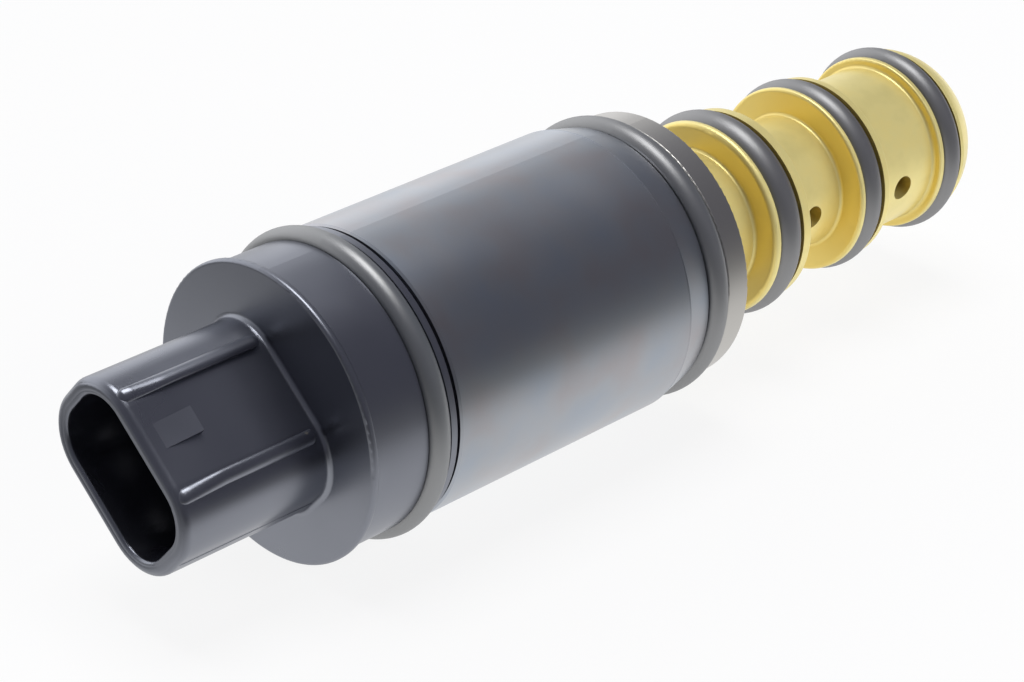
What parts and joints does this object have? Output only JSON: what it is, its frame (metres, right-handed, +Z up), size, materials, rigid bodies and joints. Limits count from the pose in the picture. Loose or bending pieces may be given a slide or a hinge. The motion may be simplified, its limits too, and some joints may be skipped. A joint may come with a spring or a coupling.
{
  "type": "compressor control valve",
  "caption": "Plug-in solenoid valve with a steel case, an oval plug hood and a grooved brass body with sealed lands and radial ports, for setting a compressor's displacement.",
  "frame": {"origin": "on the valve's axis, in the middle of the steel front flange's rim", "axes": "+X along the valve's axis from the plug to the brass nose, +Z up as the valve lies, +Y sideways"},
  "size_m": [0.0816, 0.023, 0.023],
  "materials": {
    "black_plastic": "satin",
    "tinned_brass": "satin",
    "grey_rubber": "satin",
    "black_oxide_steel": "satin",
    "bare_steel": "satin",
    "natural_plastic": "matte",
    "copper_wire": "satin",
    "stainless_steel": "polished",
    "turned_steel": "satin",
    "blue_black_rubber": "satin",
    "black_rubber": "matte",
    "brass": "satin",
    "spring_steel": "satin",
    "bronze_leaf": "satin"
  },
  "bodies": {
    "housing": {"connector_housing": "black_plastic", "terminal_1": "tinned_brass", "terminal_2": "tinned_brass", "rear_oring": "grey_rubber", "case": "black_oxide_steel", "rear_plate": "bare_steel", "coil_bobbin": "natural_plastic", "coil_winding": "copper_wire", "plunger_sleeve": "stainless_steel", "fixed_core": "bare_steel", "front_flange": "turned_steel", "case_oring": "blue_black_rubber", "sleeve_seal": "black_rubber", "valve_body": "brass", "body_oring_1": "black_rubber", "body_oring_2": "black_rubber", "body_oring_3": "black_rubber", "valve_seat": "stainless_steel", "end_plug": "brass", "bellows_holder": "stainless_steel", "plunger_spring": "spring_steel", "bellows": "bronze_leaf", "bellows_spring": "spring_steel"},
    "plunger_and_rod": {"plunger": "bare_steel", "operating_rod": "stainless_steel", "bellows_stopper": "stainless_steel"}
  },
  "joints": [
    {"name": "plunger_slide", "type": "slide", "parent": "housing", "child": "plunger_and_rod", "axis": [1, 0, 0], "range_m": [0, 0.0007], "stiffness_N_per_m": 600, "springref_m": -0.003, "deforming": ["plunger_spring", "bellows", "bellows_spring"]}
  ]
}
